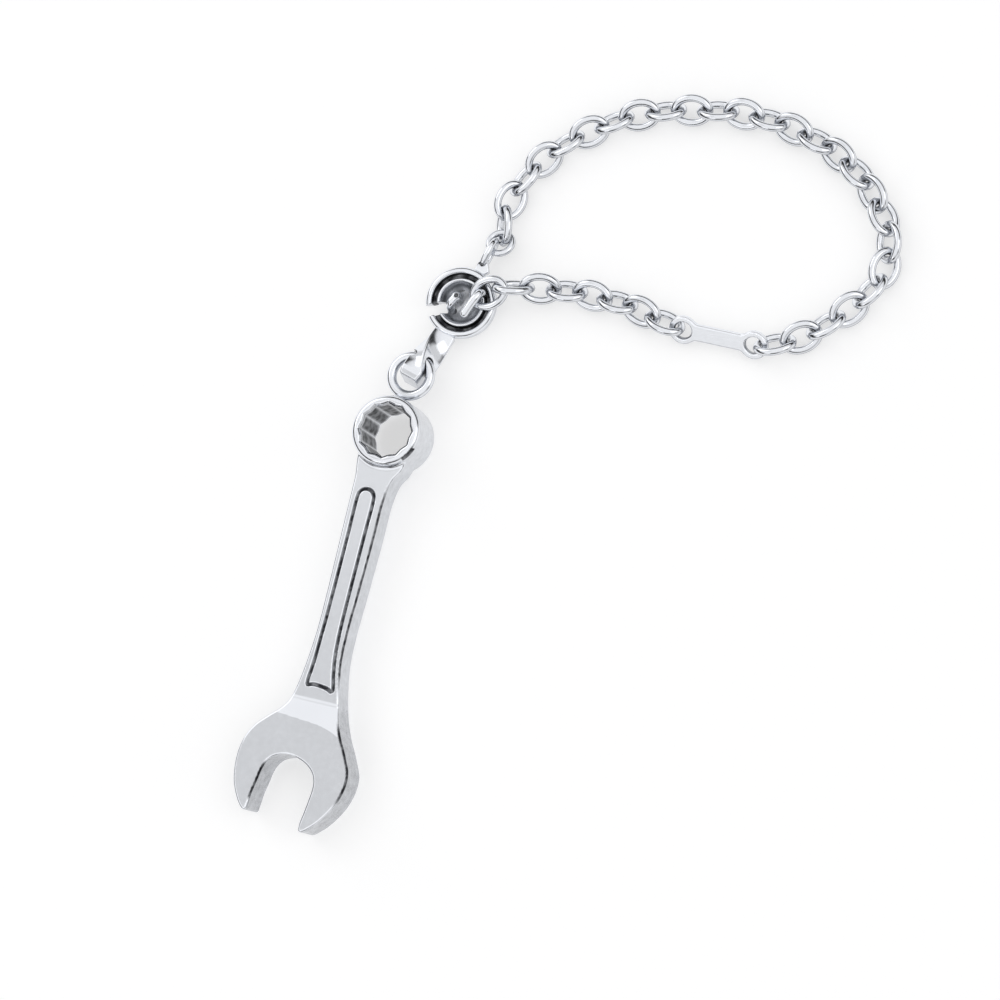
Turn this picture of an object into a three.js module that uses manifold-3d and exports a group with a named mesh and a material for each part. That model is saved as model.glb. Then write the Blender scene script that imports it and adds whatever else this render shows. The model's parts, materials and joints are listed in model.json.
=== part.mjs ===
// Silver keyring: a miniature combination spanner on a chain loop with an
// open round clasp. Millimetres, +Z up. The object lies on the plane z = 0,
// the spanner points along -Y from its ring end, and the chain loop lies
// towards +X and +Y.
import * as THREE from 'three';
import { mergeVertices } from 'three/addons/utils/BufferGeometryUtils.js';
import Module from 'manifold-3d';

const wasm = await Module();
wasm.setup();

// ---------------------------------------------------------------- dimensions
// spanner
const BOSS_R = 4.0;             // largest radius of the ring-end barrel
const BOSS_RIM_R = 3.55;        // radius of its flat end faces
const BOSS_HALF = 3.05;         // half of the barrel's depth
const HOLE_R = 2.98;            // corner radius of the twelve-point hole
const SHANK_HALF = 1.7;         // half of the shank's thickness
const JAW_HALF = 2.1;           // half of the jaw's thickness
const GROOVE_W = 0.26;          // width of the engraved outline
const GROOVE_D = 0.28;          // depth of the engraved outline
const TILT = 1.31 * Math.PI / 180; // the thick ring end lifts the shank
const BOSS_Z = 3.125;           // height of the ring end's mid-plane
// soldered loop ring on the ring end
const LOOP_X = 0.32;
const LOOP_Y = 6.86;
const LOOP_R = 2.24;            // centreline radius
const LOOP_WIRE = 0.56;         // wire radius
// chain links
const LINK_A = 1.985;           // centreline half length
const LINK_B = 1.43;            // centreline half width
const LINK_WIRE = 0.44;         // wire radius
const LINK_LEAN = 40 * Math.PI / 180; // lean to alternate sides of upright
const LINK_SEG = 16;
const WIRE_SEG = 6;
const JUMP_R = 1.34;            // round jump ring at the eyelet
const JUMP_WIRE = 0.38;
// tag plate with two eyes
const TAG_EYE_R = 1.62;
const TAG_HOLE_R = 0.94;
const TAG_BAR_W = 1.9;
const TAG_T = 0.66;
const TAG_EYE_X = 4.05;         // eye centres from the tag's middle
// clasp, in its own frame with +Z along the cup's axis
const CUP_C = new THREE.Vector3(3.51, 16.23, 2.267);
const CUP_X = new THREE.Vector3(0.966, 0.2309, -0.1167);
const CUP_N = new THREE.Vector3(0.1476, -0.1214, 0.9816);
const CUP_R = 3.95;             // outer radius
const CUP_SLOT_W = 1.32;        // width of the side slot
const CUP_SLOT_A = 193 * Math.PI / 180; // direction of the side slot
const ROD_R = 0.46;             // hook rod radius

// Contact points between neighbouring links, from the eyelet round the loop
// to the hook.
const CHAIN = [
  [5.05, 22.90, 1.90], [6.24, 24.49, 1.61], [5.57, 27.38, 1.75], [6.30, 30.26, 1.75],
  [7.65, 32.90, 1.75], [9.42, 35.29, 1.75], [11.64, 37.27, 1.75], [14.09, 38.95, 1.75],
  [16.66, 40.44, 1.75], [19.42, 41.53, 1.75], [22.31, 42.25, 1.75], [25.24, 42.75, 1.75],
  [28.19, 43.06, 1.75], [31.16, 43.05, 1.75], [34.11, 42.64, 1.75], [36.99, 41.92, 1.75],
  [39.80, 40.94, 1.75], [42.42, 39.54, 1.75], [44.76, 37.72, 1.75], [46.79, 35.55, 1.75],
  [48.40, 33.05, 1.75], [49.25, 30.20, 1.75], [48.83, 27.26, 1.75], [47.30, 24.71, 1.75],
  [45.34, 22.47, 1.75], [43.16, 20.45, 1.75], [40.69, 18.80, 1.75], [37.89, 17.82, 1.75],
  [28.13, 18.06, 1.75], [25.26, 18.82, 1.75], [22.37, 19.50, 1.75], [19.41, 19.84, 1.75],
  [16.44, 19.94, 1.75], [13.49, 19.69, 2.00], [10.68, 19.18, 2.80], [8.04, 18.38, 3.90],
  [5.55, 16.90, 3.22],
].map((p) => new THREE.Vector3(...p));

// ------------------------------------------------------------------- helpers
function toManifold(geometry) {
  let g = geometry.index ? geometry.toNonIndexed() : geometry.clone();
  g.deleteAttribute('normal');
  g.deleteAttribute('uv');
  g = mergeVertices(g, 1e-5);
  return new wasm.Manifold(new wasm.Mesh({
    numProp: 3,
    vertProperties: new Float32Array(g.attributes.position.array),
    triVerts: new Uint32Array(g.index.array),
  }));
}

function toGeometry(solid) {
  const m = solid.getMesh();
  const g = new THREE.BufferGeometry();
  g.setAttribute('position', new THREE.BufferAttribute(new Float32Array(m.vertProperties), 3));
  g.setIndex(new THREE.BufferAttribute(new Uint32Array(m.triVerts), 1));
  g.computeVertexNormals();
  return g;
}

function clean(geometry) {
  return toGeometry(toManifold(geometry));
}

// polygon in the xy plane, extruded from z0 to z1
function slab(points, z0, z1, holes = []) {
  const shape = new THREE.Shape(points.map((p) => new THREE.Vector2(p[0], p[1])));
  for (const h of holes) shape.holes.push(new THREE.Path(h.map((p) => new THREE.Vector2(p[0], p[1]))));
  const g = new THREE.ExtrudeGeometry(shape, { depth: z1 - z0, bevelEnabled: false, steps: 1 });
  g.translate(0, 0, z0);
  return g;
}

function smooth(points, n, closed = false) {
  const c = new THREE.CatmullRomCurve3(points.map((p) => new THREE.Vector3(p[0], p[1], p[2] || 0)), closed, 'centripetal');
  const out = c.getSpacedPoints(n);
  if (closed) out.pop();
  return out.map((p) => [p.x, p.y, p.z]);
}

// wire ring whose centreline is an ellipse of half axes a and b
function ovalRing(a, b, wire, seg = LINK_SEG, wseg = WIRE_SEG) {
  const g = new THREE.TorusGeometry(a, wire, wseg, seg);
  const pos = g.attributes.position;
  for (let j = 0; j <= wseg; j++) {
    for (let i = 0; i <= seg; i++) {
      const u = (i % seg) / seg * Math.PI * 2;
      const v = (j % wseg) / wseg * Math.PI * 2;
      const nx = b * Math.cos(u), ny = a * Math.sin(u);
      const l = Math.hypot(nx, ny);
      const r = wire * Math.cos(v);
      pos.setXYZ(j * (seg + 1) + i,
        a * Math.cos(u) + r * nx / l, b * Math.sin(u) + r * ny / l, wire * Math.sin(v));
    }
  }
  return g;
}

function frameMatrix(xAxis, zAxis, origin) {
  const x = xAxis.clone().normalize();
  const z = zAxis.clone().addScaledVector(x, -zAxis.dot(x)).normalize();
  const y = new THREE.Vector3().crossVectors(z, x);
  return new THREE.Matrix4().makeBasis(x, y, z).setPosition(origin);
}

const group = new THREE.Group();
const silver = (color, roughness) => new THREE.MeshStandardMaterial({ color, roughness, metalness: 1 });

function add(parent, name, geometry, color = 0xd6d9dd, roughness = 0.16) {
  const mesh = new THREE.Mesh(geometry, silver(color, roughness));
  mesh.name = name;
  parent.add(mesh);
  return mesh;
}

// ------------------------------------------------------------------- spanner
// The frame of the spanner has its origin in the middle of the ring end.
const spanner = new THREE.Group();
spanner.position.set(0, 0, BOSS_Z);
spanner.rotation.x = TILT;
group.add(spanner);

const JAW_OUTLINE = [
  [-2.96, -28.3], [-3.2, -30.0], [-3.60, -31.2], [-4.25, -32.2], [-5.45, -33.35], [-6.55, -34.5],
  [-7.30, -35.8], [-7.68, -37.1], [-7.78, -38.5], [-7.66, -39.9], [-7.35, -41.2], [-6.85, -42.3],
  [-6.2, -43.3], [-5.6, -43.85], [-5.2, -43.8], [-5.08, -43.2],
  [-4.95, -41.7], [-4.72, -40.4], [-4.50, -39.1], [-4.20, -38.3], [-3.70, -37.65], [-3.0, -37.25],
  [-2.1, -37.0], [-1.1, -37.05], [-0.2, -37.3], [0.65, -37.75], [1.3, -38.4], [1.65, -39.2],
  [1.72, -40.1], [1.62, -41.2], [1.45, -42.6], [1.25, -44.1], [1.32, -44.7], [1.7, -44.8],
  [2.8, -43.95], [3.75, -42.85], [4.6, -41.5], [5.15, -40.1], [5.4, -38.7], [5.3, -37.4],
  [4.72, -36.1], [4.1, -34.95], [3.5, -33.9], [2.85, -32.4], [2.3, -30.7], [1.9, -29.1], [1.75, -28.3],
];
const SHANK_OUTLINE = [
  [-2.6, -2.0], [-2.6, -6.0], [-2.54, -12.0], [-2.46, -18.0], [-2.48, -23.0], [-2.74, -26.5],
  [-2.98, -28.5], [-3.25, -30.0], [-3.60, -31.2], [-4.25, -32.2], [-4.6, -33.0], [3.1, -33.0],
  [2.85, -32.4], [2.3, -30.7], [1.9, -29.1], [1.55, -27.5], [1.25, -25.5],
  [1.16, -22.5], [1.28, -18.0], [1.4, -12.0], [1.45, -7.2], [1.85, -5.2], [2.6, -3.9], [2.7, -2.0],
];
const PANEL = [
  [-1.68, -7.6], [-1.66, -12.5], [-1.68, -18.0], [-1.76, -23.5], [-1.86, -26.8], [-2.02, -29.0],
  [-1.2, -28.86], [-0.3, -28.9], [0.5, -29.05], [1.12, -29.3],
  [0.72, -27.3], [0.38, -25.2], [0.22, -22.0], [0.2, -17.0], [0.22, -12.0], [0.22, -7.6],
];

const boss = new THREE.LatheGeometry([
  [0, -BOSS_HALF], [BOSS_RIM_R, -BOSS_HALF], [BOSS_R - 0.1, -BOSS_HALF + 0.85], [BOSS_R, -0.9],
  [BOSS_R, 0.9], [BOSS_R - 0.1, BOSS_HALF - 0.85], [BOSS_RIM_R, BOSS_HALF], [0, BOSS_HALF],
].map((p) => new THREE.Vector2(p[0], p[1])), 36);
boss.rotateX(Math.PI / 2);

// twelve-point hole: two hexagons a twelfth of a turn apart
const bihex = [];
for (let i = 0; i < 24; i++) {
  const a = (i * 15 + 7) * Math.PI / 180;
  const r = i % 2 ? HOLE_R * Math.cos(Math.PI / 6) / Math.cos(Math.PI / 12) : HOLE_R;
  bihex.push([r * Math.cos(a), r * Math.sin(a)]);
}

// engraved outline: a closed band round the panel
function bandOf(points, w) {
  const n = points.length;
  const off = (s) => points.map((p, i) => {
    const a = points[(i + n - 1) % n], b = points[(i + 1) % n];
    const d1 = new THREE.Vector2(p[0] - a[0], p[1] - a[1]).normalize();
    const d2 = new THREE.Vector2(b[0] - p[0], b[1] - p[1]).normalize();
    const t = d1.clone().add(d2).normalize();
    const k = Math.min(1.6, 1 / Math.max(0.5, Math.abs(t.dot(d1))));
    return [p[0] - t.y * s * k, p[1] + t.x * s * k];
  });
  return [off(-w / 2), off(w / 2)];
}
const panelTop = [];
for (let i = 1; i < 6; i++) {
  const a = i / 6 * Math.PI;
  panelTop.push([-0.73 + 0.95 * Math.cos(a), -7.6 + 0.95 * Math.sin(a)]);
}
const panel = [...PANEL, ...panelTop];
const [bandOut, bandIn] = bandOf(panel, GROOVE_W);

let body = toManifold(slab(SHANK_OUTLINE, -SHANK_HALF, SHANK_HALF));
body = body.add(toManifold(slab(JAW_OUTLINE, -JAW_HALF, JAW_HALF)));
// the jaw's extra thickness starts below the panel
body = body.subtract(toManifold(slab([[-9, -27], [9, -27], [9, -31.3], [-9, -31.3]], SHANK_HALF, 3)));
body = body.subtract(toManifold(slab([[-9, -27], [9, -27], [9, -31.3], [-9, -31.3]], -3, -SHANK_HALF)));
body = body.add(toManifold(boss));
body = body.subtract(toManifold(slab(bihex, -4, 4)));
const band = toManifold(slab(bandOut, SHANK_HALF - GROOVE_D, SHANK_HALF + 1))
  .subtract(toManifold(slab(bandIn, SHANK_HALF - 2, SHANK_HALF + 2)));
body = body.subtract(band);
add(spanner, 'spanner_body', toGeometry(body), 0xd2d5d9, 0.14);

const loop = new THREE.TorusGeometry(LOOP_R, LOOP_WIRE, 8, 28);
loop.translate(LOOP_X, LOOP_Y, 0);
add(spanner, 'spanner_loop', clean(loop), 0xd8dadd, 0.14);

// --------------------------------------------------------------------- clasp
const clasp = new THREE.Group();
clasp.applyMatrix4(frameMatrix(CUP_X, CUP_N, CUP_C));
group.add(clasp);

function lathe(profile, seg) {
  const g = new THREE.LatheGeometry(profile.map((p) => new THREE.Vector2(p[0], p[1])), seg);
  g.rotateX(Math.PI / 2);
  return toManifold(g);
}
const slot = () => {
  const g = new THREE.BoxGeometry(3.4, CUP_SLOT_W, 6);
  g.translate(1.85 + 1.7, 0, 0);
  g.rotateZ(CUP_SLOT_A);
  return toManifold(g);
};
// outer shell with its rim; the liner sits in the shell's bore
const shell = lathe([
  [2.77, -1.7], [3.1, -1.7], [3.6, -1.3], [CUP_R - 0.05, -0.6], [CUP_R, 0.0], [CUP_R - 0.1, 0.45],
  [3.62, 0.75], [3.4, 0.75], [3.24, 0.6], [3.24, -0.3], [2.77, -0.3], [2.77, -1.7],
], 40).subtract(slot());
add(clasp, 'clasp_shell', toGeometry(shell), 0xd0d3d7, 0.15);

const liner = lathe([
  [0, -1.7], [2.72, -1.7], [2.72, 0.45], [2.62, 0.6], [2.5, 0.55], [2.42, 0.3], [2.25, -0.1],
  [1.95, -0.6], [1.55, -1.0], [1.1, -1.25], [0, -1.3],
], 32).subtract(slot());
add(clasp, 'clasp_liner', toGeometry(liner), 0x6b6e73, 0.3);

// hook rod: stands in the bowl, bends over the last link and ends round
const rodPath = new THREE.CatmullRomCurve3([
  [1.72, 0.62, -0.78], [2.15, 0.72, 0.0], [2.48, 0.84, 0.9], [2.42, 0.86, 1.62], [2.0, 0.42, 2.0],
  [1.45, -0.25, 2.0], [0.62, -1.36, 1.8],
].map((p) => new THREE.Vector3(...p)), false, 'centripetal');
const rodShape = new THREE.Shape();
rodShape.absarc(0, 0, ROD_R, 0, Math.PI * 2, false);
const rodGeo = new THREE.ExtrudeGeometry(rodShape, { steps: 16, curveSegments: 5, extrudePath: rodPath });
const tip = new THREE.SphereGeometry(ROD_R, 10, 8);
tip.translate(0.62, -1.36, 1.8);
let rod = toManifold(rodGeo).add(toManifold(tip));
rod = rod.subtract(lathe([
  [0, -2.5], [2.85, -2.5], [2.85, 0.68], [2.45, 0.66], [2.37, 0.3], [2.2, -0.1],
  [1.92, -0.57], [1.52, -0.96], [1.09, -1.21], [0, -1.26],
], 32));
add(clasp, 'clasp_hook', toGeometry(rod), 0xe2e4e7, 0.12);

// catch tab inside the mouth of the slot
const tabShape = new THREE.Shape();
tabShape.absarc(0, 0, 0.42, 0, Math.PI * 2, false);
const tabPath = new THREE.CatmullRomCurve3([
  [-1.25, -0.62, -0.95], [-1.3, -0.35, -0.2], [-1.1, 0.1, 0.25], [-0.62, 0.68, 0.2],
].map((p) => new THREE.Vector3(...p)), false, 'centripetal');
let tab = toManifold(new THREE.ExtrudeGeometry(tabShape, { steps: 9, curveSegments: 4, extrudePath: tabPath }));
const knob = new THREE.SphereGeometry(0.5, 10, 8);
knob.translate(-0.55, 0.74, 0.16);
tab = tab.add(toManifold(knob));
const dimple = new THREE.SphereGeometry(0.24, 8, 6);
dimple.translate(-0.47, 0.78, 0.66);
tab = tab.subtract(toManifold(dimple)).subtract(lathe([
  [0, -2.5], [2.85, -2.5], [2.85, 0.68], [2.45, 0.66], [2.37, 0.3], [2.2, -0.1],
  [1.92, -0.57], [1.52, -0.96], [1.09, -1.21], [0, -1.26],
], 32));
add(clasp, 'clasp_tab', toGeometry(tab), 0xe4e6e9, 0.12);

// eyelet: a gusset on the shell carries a tall narrow eye
const gusset = slab([[1.55, 3.78], [2.05, 4.75], [2.75, 4.95], [2.95, 4.55], [3.05, 3.25], [2.3, 3.32]], -1.05, 0.05);
const outside = lathe([[0, -3], [4.0, -3], [4.0, 3], [0, 3]], 40);
const eye = ovalRing(1.65, 1.1, 0.4, 16, 6);
eye.rotateX(Math.PI / 2);
eye.translate(1.226, 0, 0);
eye.rotateZ(61.27 * Math.PI / 180);
eye.translate(2.35, 4.4, -0.85);
let eyelet = toManifold(gusset).add(toManifold(eye)).subtract(outside);
add(clasp, 'clasp_eyelet', toGeometry(eyelet), 0xd8dbde, 0.15);

// bail: a strap that turns from flat to edgewise on its way to the loop ring
const BAIL_A = new THREE.Vector3(-1.75, -3.35, 0.0);
const BAIL_B = new THREE.Vector3(-5.25, -9.0, 1.8);
const BAIL_L = BAIL_A.distanceTo(BAIL_B);
const BAIL_SEG = 14;
const bailGeo = new THREE.BoxGeometry(1, BAIL_L, 1, 1, BAIL_SEG, 1);
{
  const p = bailGeo.attributes.position;
  for (let i = 0; i < p.count; i++) {
    const t = 0.5 - p.getY(i) / BAIL_L;        // 0 at the cup, 1 at the free end
    const s = Math.min(1, Math.max(0, (t - 0.1) / 0.55));
    const end = t > 0.93 ? 0.9 : 1;
    const w = (2.6 + 0.6 * s) * end;        // face that starts uppermost
    const h = (1.3 + 1.15 * s) * end;          // face that ends uppermost
    const a = -s * 88 * Math.PI / 180;
    const x = p.getX(i) * w, z = p.getZ(i) * h;
    p.setX(i, x * Math.cos(a) - z * Math.sin(a) - 0.32 * s);
    p.setZ(i, x * Math.sin(a) + z * Math.cos(a));
  }
}
const bailDir = new THREE.Vector3().subVectors(BAIL_B, BAIL_A).normalize();
const bailY = bailDir.clone().negate();
const bailX = new THREE.Vector3(0, 0, 1).cross(bailY).negate().normalize();
const bailZ = new THREE.Vector3().crossVectors(bailX, bailY);
const bailM = new THREE.Matrix4().makeBasis(bailX, bailY, bailZ)
  .setPosition(BAIL_A.clone().add(BAIL_B).multiplyScalar(0.5));
bailGeo.applyMatrix4(bailM);
let bail = toManifold(bailGeo).subtract(outside);
{
  // window that the loop ring runs through, cut along the ring's wire
  const toClasp = clasp.matrixWorld.clone();
  clasp.updateMatrixWorld(true);
  spanner.updateMatrixWorld(true);
  toClasp.copy(clasp.matrixWorld).invert().multiply(spanner.matrixWorld);
  const cutter = new THREE.TorusGeometry(LOOP_R, 0.76, 8, 36);
  cutter.translate(LOOP_X, LOOP_Y, 0);
  cutter.applyMatrix4(toClasp);
  bail = bail.subtract(toManifold(cutter));
}
add(clasp, 'clasp_bail', toGeometry(bail), 0xd3d6da, 0.14);

// --------------------------------------------------------------------- chain
const UP = new THREE.Vector3(0, 0, 1);
const bias = new THREE.Vector3(-0.017, 0.086, 1).normalize();
for (let k = 0; k < CHAIN.length - 1; k++) {
  const p = CHAIN[k], q = CHAIN[k + 1];
  const dir = new THREE.Vector3().subVectors(q, p).normalize();
  const mid = p.clone().add(q).multiplyScalar(0.5);
  const side = new THREE.Vector3().crossVectors(UP, dir).normalize();
  const up = bias.clone().addScaledVector(dir, -bias.dot(dir)).normalize();
  const even = (k + 1) % 2 === 0 ? 1 : -1;
  let lean = LINK_LEAN;
  const name = `link_${String(k + 1).padStart(2, '0')}`;
  if (k === 0) {
    const n = new THREE.Vector3(0.326, 0.266, 1).normalize();
    const g = new THREE.TorusGeometry(JUMP_R, JUMP_WIRE, WIRE_SEG, 16);
    g.applyMatrix4(frameMatrix(new THREE.Vector3(1, 0, 0), n, new THREE.Vector3(6.009, 23.844, 1.766)));
    add(group, 'jump_ring', clean(g));
    continue;
  }
  if (k === 1) lean = 55.7 * Math.PI / 180;
  if (k === CHAIN.length - 3) lean = 56 * Math.PI / 180;
  if (k === CHAIN.length - 2) lean = 20 * Math.PI / 180;
  const n = up.clone().multiplyScalar(Math.cos(lean)).addScaledVector(side, even * Math.sin(lean));
  const m = frameMatrix(dir, n, mid);
  if (Math.abs(p.distanceTo(q) - 9.76) < 0.3) {
    const outline = [];
    const half = TAG_BAR_W / 2;
    const a0 = Math.asin(half / TAG_EYE_R);
    for (const s of [1, -1]) {
      const from = s > 0 ? -Math.PI + a0 : a0;
      for (let i = 0; i <= 14; i++) {
        const a = from + (2 * Math.PI - 2 * a0) * i / 14;
        outline.push([s * TAG_EYE_X + TAG_EYE_R * Math.cos(a), TAG_EYE_R * Math.sin(a)]);
      }
    }
    const hole = (cx) => Array.from({ length: 14 }, (_, i) => {
      const a = -i / 14 * Math.PI * 2;
      return [cx + TAG_HOLE_R * Math.cos(a), TAG_HOLE_R * Math.sin(a)];
    });
    const g = slab(outline, -TAG_T / 2, TAG_T / 2, [hole(TAG_EYE_X), hole(-TAG_EYE_X)]);
    g.applyMatrix4(m);
    add(group, 'tag_plate', clean(g), 0xd2d7dd, 0.12);
    continue;
  }
  const g = ovalRing(LINK_A, LINK_B, LINK_WIRE);
  g.applyMatrix4(m);
  add(group, name, clean(g));
}

// The origin goes to the middle of the object's footprint, on the surface
// that it lies on.
group.updateMatrixWorld(true);
const box = new THREE.Box3().setFromObject(group, true);
group.position.set(-(box.min.x + box.max.x) / 2, -(box.min.y + box.max.y) / 2, -box.min.z);
group.updateMatrixWorld(true);

export default group;
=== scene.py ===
import json
import math
import bpy
import numpy as np
from mathutils import Matrix, Vector


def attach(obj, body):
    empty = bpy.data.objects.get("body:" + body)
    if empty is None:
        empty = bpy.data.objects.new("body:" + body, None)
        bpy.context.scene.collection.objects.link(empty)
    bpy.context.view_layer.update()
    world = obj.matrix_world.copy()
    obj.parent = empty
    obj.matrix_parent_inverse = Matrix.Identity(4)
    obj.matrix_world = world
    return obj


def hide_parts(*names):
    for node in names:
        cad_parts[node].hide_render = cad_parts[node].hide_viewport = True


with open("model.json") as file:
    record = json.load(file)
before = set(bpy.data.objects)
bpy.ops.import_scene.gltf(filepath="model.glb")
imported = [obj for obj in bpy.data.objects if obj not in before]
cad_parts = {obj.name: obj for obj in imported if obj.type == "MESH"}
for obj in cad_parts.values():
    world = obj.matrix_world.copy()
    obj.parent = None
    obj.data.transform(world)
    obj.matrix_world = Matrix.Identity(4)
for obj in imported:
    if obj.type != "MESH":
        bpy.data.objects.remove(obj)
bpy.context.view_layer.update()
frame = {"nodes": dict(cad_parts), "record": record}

MM = 0.001
JOINTS = {j["name"]: j for j in frame["record"]["behaviour"]["joints"]}

# The spanner's own frame has its origin in the middle of the ring end. The
# joint of the loop ring gives where that frame sits in the row.
TILT = math.radians(1.31)
LOOP_X, LOOP_Y, LOOP_R, LOOP_WIRE = 0.32, 6.86, 2.24, 0.56
BOSS_Z = 3.125
swing = np.array(JOINTS["spanner_swing"]["pos_m"]) * 1000
OFF = swing - np.array([LOOP_X, LOOP_Y * math.cos(TILT), BOSS_Z + LOOP_Y * math.sin(TILT)])
SPANNER_M = np.eye(4)
SPANNER_M[:3, :3] = [[1, 0, 0], [0, math.cos(TILT), -math.sin(TILT)], [0, math.sin(TILT), math.cos(TILT)]]
SPANNER_M[:3, 3] = OFF + [0, 0, BOSS_Z]


def frame_matrix(x, z, o):
    x = np.array(x, float); x /= np.linalg.norm(x)
    z = np.array(z, float); z -= x * (z @ x); z /= np.linalg.norm(z)
    m = np.eye(4)
    m[:3, 0], m[:3, 1], m[:3, 2], m[:3, 3] = x, np.cross(z, x), z, o
    return m


CLASP_M = frame_matrix((0.966, 0.2309, -0.1167), (0.1476, -0.1214, 0.9816),
                       np.array([3.51, 16.23, 2.267]) + OFF)


# ------------------------------------------------------------ distance fields
def smin(a, b, k):
    h = np.maximum(k - np.abs(a - b), 0) / k
    return np.minimum(a, b) - h * h * k * 0.25


def smax(a, b, k):
    return -smin(-a, -b, k)


def step(a, b, v):
    t = np.clip((v - a) / (b - a), 0, 1)
    return t * t * (3 - 2 * t)


def rext(d2, dz, r):
    """Rounded intersection of two signed distances."""
    a, b = d2 + r, dz + r
    return np.hypot(np.maximum(a, 0), np.maximum(b, 0)) + np.minimum(np.maximum(a, b), 0) - r


def catmull(points, n, closed=True):
    """Points spread evenly along a centripetal curve through the given ones."""
    p = np.array(points, float)
    m = len(p)
    out = []
    last = m if closed else m - 1
    for i in range(last):
        if closed:
            a, b, c, d = p[(i - 1) % m], p[i], p[(i + 1) % m], p[(i + 2) % m]
        else:
            b, c = p[i], p[i + 1]
            a = p[i - 1] if i > 0 else 2 * b - c
            d = p[i + 2] if i + 2 < m else 2 * c - b
        t0 = 0.0
        t1 = t0 + max(np.linalg.norm(b - a), 1e-6) ** 0.5
        t2 = t1 + max(np.linalg.norm(c - b), 1e-6) ** 0.5
        t3 = t2 + max(np.linalg.norm(d - c), 1e-6) ** 0.5
        for t in np.linspace(t1, t2, 24, endpoint=False):
            a1 = (t1 - t) / (t1 - t0) * a + (t - t0) / (t1 - t0) * b
            a2 = (t2 - t) / (t2 - t1) * b + (t - t1) / (t2 - t1) * c
            a3 = (t3 - t) / (t3 - t2) * c + (t - t2) / (t3 - t2) * d
            b1 = (t2 - t) / (t2 - t0) * a1 + (t - t0) / (t2 - t0) * a2
            b2 = (t3 - t) / (t3 - t1) * a2 + (t - t1) / (t3 - t1) * a3
            out.append((t2 - t) / (t2 - t1) * b1 + (t - t1) / (t2 - t1) * b2)
    if not closed:
        out.append(p[-1])
    out = np.array(out)
    q = np.vstack([out, out[:1]]) if closed else out
    s = np.concatenate([[0], np.cumsum(np.linalg.norm(np.diff(q, axis=0), axis=1))])
    u = np.linspace(0, s[-1], n + 1 if closed else n)
    if closed:
        u = u[:-1]
    return np.stack([np.interp(u, s, q[:, k]) for k in range(q.shape[1])], 1)


class Outline:
    """Signed distance to a closed outline in a plane, negative inside. A smooth
    outline is sampled once on a fine grid and read back with cubic weights."""

    def __init__(self, pts, h=0.045, pad=1.2):
        self.a = np.array(pts, float)
        self.b = np.roll(self.a, -1, 0)
        self.h = h
        if h:
            self.lo = self.a.min(0) - pad
            self.n = np.ceil((self.a.max(0) + pad - self.lo) / h).astype(int) + 1
            gx, gy = np.meshgrid(self.lo[0] + np.arange(self.n[0]) * h, self.lo[1] + np.arange(self.n[1]) * h, indexing="ij")
            self.g = self.exact(gx.ravel(), gy.ravel())

    def exact(self, x, y):
        p = np.stack([x, y], 1)
        best = np.full(len(p), 1e9)
        inside = np.zeros(len(p), bool)
        for a, b in zip(self.a, self.b):
            e = b - a
            w = p - a
            t = np.clip((w @ e) / max(e @ e, 1e-12), 0, 1)
            d = w - t[:, None] * e
            best = np.minimum(best, np.einsum("ij,ij->i", d, d))
            c = (a[1] > p[:, 1]) != (b[1] > p[:, 1])
            if c.any() and abs(e[1]) > 1e-12:
                xi = a[0] + (p[:, 1] - a[1]) * e[0] / e[1]
                inside ^= c & (p[:, 0] < xi)
        return np.sqrt(best) * np.where(inside, -1, 1)

    def __call__(self, x, y):
        if not self.h:
            return self.exact(x, y)
        ws, ks, far = [], [], 0
        for v, lo, n in ((x, self.lo[0], self.n[0]), (y, self.lo[1], self.n[1])):
            u = (v - lo) / self.h
            c = np.clip(u, 1, n - 2.001)
            far = far + ((u - c) * self.h) ** 2
            k = np.floor(c).astype(int)
            f = c - k
            ws.append((0.5 * (-f + 2 * f * f - f ** 3), 0.5 * (2 - 5 * f * f + 3 * f ** 3),
                       0.5 * (f + 4 * f * f - 3 * f ** 3), 0.5 * (f ** 3 - f * f)))
            ks.append(k - 1)
        out = 0
        for i in range(4):
            row = (ks[0] + i) * self.n[1] + ks[1]
            out = out + ws[0][i] * sum(ws[1][j] * self.g[row + j] for j in range(4))
        return out + np.sqrt(far)


def rope(p, path, r0, r1=None):
    """Distance to a rod along a path, with its radius going from r0 to r1."""
    path = np.array(path, float)
    r1 = r0 if r1 is None else r1
    n = len(path) - 1
    best = np.full(len(p), 1e9)
    for i in range(n):
        a, e = path[i], path[i + 1] - path[i]
        w = p - a
        t = np.clip((w @ e) / max(e @ e, 1e-12), 0, 1)
        d = np.linalg.norm(w - t[:, None] * e, axis=1) - (r0 + (r1 - r0) * (i + t) / n)
        best = np.minimum(best, d)
    return best


def grad(f, p, e=0.004):
    g = np.empty_like(p)
    for k in range(3):
        q = np.zeros(3)
        q[k] = e
        g[:, k] = (f(p + q) - f(p - q)) / (2 * e)
    return g


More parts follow.
